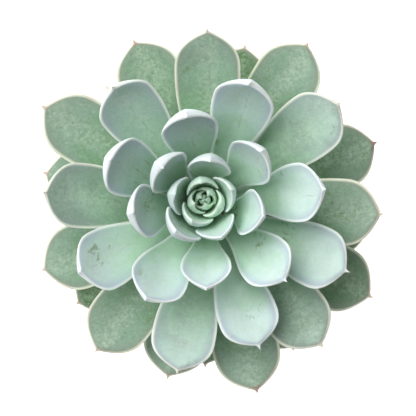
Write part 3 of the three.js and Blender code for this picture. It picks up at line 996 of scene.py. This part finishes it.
def make_leaf_material():
    """Green flesh under powdery wax: bluer to the point, pale at the margin, rubbed in places. Shade is
    painted on leaves that stand in shadow and just inside the margin, and a highlight is painted down the
    middle of the blade.
    """
    material, tree, shader = new_material("waxy_leaf")

    def read(name, output="Fac"):
        return Field(
            add_node(tree, "ShaderNodeAttribute", attribute_name=name).outputs[output]
        )

    blade = read("blade", "Vector")
    margin = read("margin")
    to_point = read("to_point")
    along = read("along")
    age = read("age")
    chance = read("chance")
    scorch = read("scorch")
    place = Field(add_node(tree, "ShaderNodeTexCoord").outputs["Object"])
    patches, specks, grain = weather(tree, place, 95.0, 1300.0, 0.10)
    underside = ease(0.0 - read("face"), 0.05, 0.35)

    # Flesh and wax: the wax is thickest on young leaves, towards the point and on the back
    bluer = ease(along + (patches - 0.5) * 0.25, 0.35, 0.92)
    colour = tint(bluer, (0.38, 0.62, 0.42, 1.0), (0.50, 0.68, 0.63, 1.0))
    old = tint(bluer, (0.15, 0.28, 0.15, 1.0), (0.20, 0.30, 0.22, 1.0))
    colour = tint(ease(age + (patches - 0.5) * 0.06, 0.48, 0.66), colour, old)
    # Painted shade: the leaves listed as standing in shadow are painted a dark green by this share
    painted_shade_colour = tint(ease(age, 0.5, 0.7), (0.08, 0.15, 0.12, 1.0), (0.06, 0.13, 0.04, 1.0))
    colour = tint(read("painted_shade"), colour, painted_shade_colour)
    blade_parts = add_node(tree, "ShaderNodeSeparateXYZ", {0: blade})
    across = Field(blade_parts.outputs["X"])
    # Paler down the middle of the blade: partly the leaf's own mottled pale midrib, and partly a painted
    # highlight, the lit middle of the dished face against its darker sides
    sway = (noise(tree, blade, 70.0, 2.0, 0.5) - 0.5) * 8 * MM
    middle = 1.0 - ease(calculate("ABSOLUTE", across + sway), 0.0, 7.0 * MM)
    middle = middle * ease(along, 0.3, 0.5) * ease(noise(tree, blade, 700.0, 4.0, 0.75), 0.35, 0.65)
    colour = tint(middle * (0.15 + ease(age, 0.4, 0.6) * 0.15), colour, (0.56, 0.70, 0.52, 1.0))
    young = 1.0 - ease(age, 0.16, 0.27)
    newest = 1.0 - ease(age, 0.1, 0.18)
    colour = tint(newest * 0.9, colour, (0.42, 0.68, 0.44, 1.0))
    back = tint(ease(along, 0.3, 0.85), (0.42, 0.60, 0.47, 1.0), (0.76, 0.86, 0.88, 1.0))
    is_waxed = underside * (0.95 - young * 0.75 - ease(age, 0.5, 0.7) * 0.3)
    colour = tint(is_waxed, colour, back)
    mottle = noise(tree, blade, 520.0, 5.0, 0.75)
    old_skin = ease(age, 0.45, 0.7)
    powder = (grain - 0.5) * (0.8 + old_skin * 1.6) + (mottle - 0.5) * (1.0 + old_skin * 1.3)
    powder = powder + (patches - 0.5) * 0.25
    colour = tint(0.5 + powder * 0.5, colour, (1.0, 1.0, 1.0, 1.0), "SOFT_LIGHT")

    # Rubbed places, where fingers and other leaves took the wax off, and fine old scratches
    rub_size = add_node(tree, "ShaderNodeMapping", {"Vector": blade, "Scale": (1.0, 0.7, 1.0)})
    rub_noise = noise(tree, Field(rub_size.outputs["Vector"]), 480.0, 4.0, 0.7, 0.8)
    rub_area = noise(tree, blade, 62.0, 1.0, 0.4)
    rubbed = ease(rub_noise, 0.54, 0.62) * ease(rub_area, 0.57, 0.66) * (1.0 - underside)
    colour = tint(rubbed * 0.55, colour, (0.17, 0.27, 0.07, 1.0))
    wander = (noise(tree, blade, 160.0, 3.0, 0.6) - 0.5) * 5 * MM
    off_line = calculate("ABSOLUTE", across + wander + (chance - 0.5) * 3 * MM)
    line_area = ease(noise(tree, blade, 110.0, 1.0, 0.4), 0.46, 0.6)
    scratch = (1.0 - ease(off_line, 0.04 * MM, 0.22 * MM)) * line_area * ease(along, 0.35, 0.5)
    scratch = scratch * (1.0 - ease(along, 0.85, 0.95)) * (1.0 - underside) * ease(chance, 0.35, 0.5)
    colour = tint(scratch * 0.35, colour, (0.16, 0.30, 0.15, 1.0))
    colour = tint(specks * 0.25, colour, (0.78, 0.86, 0.80, 1.0))

    # Margin and point: a pale thin edge, and inside it a darker band, partly the wax's own blue and partly
    # painted shade where the dished face rises to the margin
    # Painted shade: the band inside the margin is darkened as the dished face would be shaded there, with
    # the wax's own blue tint
    band = (1.0 - ease(margin, 0.7 * MM, 4.2 * MM)) * ease(along, 0.45, 0.85)
    blue_and_shade_colour = tint(ease(age, 0.48, 0.66), (0.47, 0.55, 0.65, 1.0), (0.27, 0.33, 0.26, 1.0))
    colour = tint(band * (0.7 - young * 0.6) * (1.0 - underside * 0.6), colour, blue_and_shade_colour)
    rim = 1.0 - ease(margin + young * 0.3 * MM, 0.3 * MM, 1.2 * MM)
    rim_colour = tint(ease(age, 0.45, 0.7), (0.90, 0.96, 0.94, 1.0), (0.80, 0.82, 0.66, 1.0))
    rim_colour = tint(newest, rim_colour, (0.84, 0.97, 0.84, 1.0))
    colour = tint(rim * (0.95 - underside * 0.45), colour, rim_colour)
    blush = (1.0 - ease(to_point, 0.6 * MM, 3.4 * MM)) * (0.25 + chance * 0.4 + scorch * 0.4)
    colour = tint(blush * old_skin, colour, (0.60, 0.33, 0.27, 1.0))
    edge_blush = rim * ease(noise(tree, blade, 90.0, 2.0, 0.5), 0.45, 0.65) * old_skin
    colour = tint(edge_blush * 0.4, colour, (0.74, 0.52, 0.44, 1.0))
    burnt_noise = noise(tree, blade, 300.0, 3.0, 0.6)
    burnt_reach = 1.0 - ease(to_point + burnt_noise * 4 * MM, 1.5 * MM, 6 * MM)
    burnt = scorch * burnt_reach * ease(scorch, 0.45, 1.0)
    colour = tint(burnt, colour, (0.25, 0.12, 0.07, 1.0))

    feed(shader.inputs["Base Color"], colour)
    feed(shader.inputs["Roughness"], 0.56 + grain * 0.14 - rubbed * 0.16 - rim * 0.08)
    shader.inputs["Specular IOR Level"].default_value = 0.35
    shader.inputs["Subsurface Weight"].default_value = 0.2
    shader.inputs["Subsurface Radius"].default_value = (0.7, 1.0, 0.45)
    shader.inputs["Subsurface Scale"].default_value = 1.2 * MM
    shader.inputs["Sheen Weight"].default_value = 0.12
    shader.inputs["Sheen Roughness"].default_value = 0.4
    relief = grain * 0.6 + patches * 0.6 - rubbed * 0.25
    feed(shader.inputs["Normal"], bumped(tree, relief, 0.35, 0.12 * MM))
    return material


def smooth_step(value, start, end):
    """0 up to start, 1 from end, and a smooth rise between them."""
    share = min(1.0, max(0.0, (value - start) / (end - start)))
    return share * share * (3 - 2 * share)


def leaf_size(index, age):
    """A leaf's length, width and thickness, and how tightly it is bent round the bud."""
    bud_scale = BUD_SCALE + (1 - BUD_SCALE) * smooth_step(index, -1, 6)
    grown_width = 1 - math.exp(-(index + WIDTH_HEAD_START) / WIDTH_PACE)
    narrowing = 1 - OLD_LEAF_NARROWING * smooth_step(age, 0.7, 1)
    grown_length = math.sin(2 * age) ** LENGTH_POWER
    shortening = OLD_LEAF_SHORTENING * smooth_step(age, 0.68, 0.88)
    full_thickness = BUD_THICKNESS + (MAX_THICKNESS - BUD_THICKNESS) * smooth_step(age, -0.1, 0.5)
    thickness = bud_scale ** 1.4 * full_thickness
    growth = LEAF_GROWTH.get(index, 1)
    flatter = NEWEST_FLATTER * (1 - smooth_step(index, 1, 4))
    return {
        "Length": (BUD_LENGTH + LENGTH_GAIN * grown_length - shortening) * growth,
        "Width": LEAF_MAX_WIDTH * bud_scale * grown_width * narrowing,
        "Thickness": thickness,
        "Foot Thickness": min(BASE_THICKNESS, thickness),
        "Bend Radius": BUD_BEND_RADIUS + flatter + BEND_RADIUS_GAIN * age ** 1.25,
        "Bluntness": BUD_BLUNTNESS + (OLD_BLUNTNESS - BUD_BLUNTNESS) * smooth_step(index, 2, 30),
    }


def leaf_hook(index, azimuth):
    """How far the point turns in over the leaf's own face, in degrees; below 0 it turns out."""
    is_middle = smooth_step(index, 5, 10) * (1 - smooth_step(index, 24, 34))
    swing = HOOK_SWING * math.cos(math.radians(azimuth - LIGHT_AZIMUTH))
    return is_middle * (HOOK_MEAN + swing) + BUD_HOOK * (1 - smooth_step(index, 3, 8))


def leaf_attitude(index, age):
    """Young leaves are steep and curl in, and old ones are nearly level."""
    azimuth = FIRST_AZIMUTH + math.degrees(GOLDEN_ANGLE) * index + LEAF_TURN.get(index, 0)
    is_middle = smooth_step(index, 5, 15) * (1 - smooth_step(index, 27, 35))
    lean = LIGHT_LEAN * is_middle * math.cos(math.radians(azimuth - LIGHT_AZIMUTH))
    rise = LEVEL_ANGLE + UPRIGHT_GAIN * (1 - age ** 1.4) ** 2.1
    curl = YOUNG_CURL + (OLD_CURL - YOUNG_CURL) * smooth_step(index, 20, 36)
    hook = leaf_hook(index, azimuth)
    closing = BUD_CLOSING * smooth_step(index, 1, 4) * (1 - smooth_step(index, 4, 8))
    base_angle = rise + lean + closing + LEAF_RISE.get(index, 0) - curl / 3 - hook * HOOK_SHARE
    return {
        "Azimuth": math.radians(azimuth),
        "Base Angle": math.radians(base_angle),
        "Curl": math.radians(curl),
        "Hook": math.radians(hook),
    }


def leaf_foot(index, azimuth):
    """Where a leaf stands: on the domed tip, or down the side of the stem."""
    if index < TIP_LEAVES:
        radius = max(0.2 * MM, TIP_FIRST_RADIUS + TIP_LEAF_PITCH * index)
        height = dome_height(radius) + TIP_LEAF_GAP
    else:
        radius = STEM_LEAFY_RADIUS + SIDE_LEAF_GAP
        height = dome_height(STEM_LEAFY_RADIUS) - SIDE_LEAF_PITCH * (index - TIP_LEAVES)
    lean_x, lean_y = stem_axis(height)
    return (
        stem_x + lean_x + radius * math.cos(azimuth),
        stem_y + lean_y + radius * math.sin(azimuth),
        height,
    )


def leaf_values(index):
    """Everything that the leaf tree needs to grow this leaf."""
    age = max(0, index) / (LEAF_COUNT - 1)
    values = {**leaf_size(index, age), **leaf_attitude(index, age)}
    values["Foot"] = leaf_foot(index, values["Azimuth"])
    values["Age"] = age
    values["Chance"] = index * 0.618 % 1.0
    values["Painted Shade"] = float(LEAF_PAINTED_SHADE.get(index, 0.0))
    values["Scorch"] = float(LEAF_SCORCH.get(index, 0.0))
    values["Number"] = float(index)
    return values


leaf_tree = make_leaf_tree(make_leaf_material())
for index in range(LEAF_COUNT):
    leaf_name = f"leaf_{index + 1:02d}"
    leaf_mesh = grown_mesh(f"fleshy_{leaf_name}", leaf_tree, leaf_values(index))
    add_piece(f"fleshy_{leaf_name}", leaf_mesh, "leaf", leaf_name)

# --- Growing tip
# The heart of the bud: three newest leaves, still pressed together on the stem's dome. They are
# too young to stand apart, so they belong to the stem.
HEART_LEAVES = (-1, -2, -3)
HEART_SHRINK = 0.16
HEART_SHORTEN = 0.7 * MM

for number, index in enumerate(HEART_LEAVES, 1):
    heart_values = leaf_values(index)
    heart_values["Width"] *= 1 - HEART_SHRINK * number
    heart_values["Length"] -= HEART_SHORTEN * number
    heart_mesh = grown_mesh(f"heart_leaf_{number}", leaf_tree, heart_values)
    add_piece(f"heart_leaf_{number}", heart_mesh, "leaf", "stem")
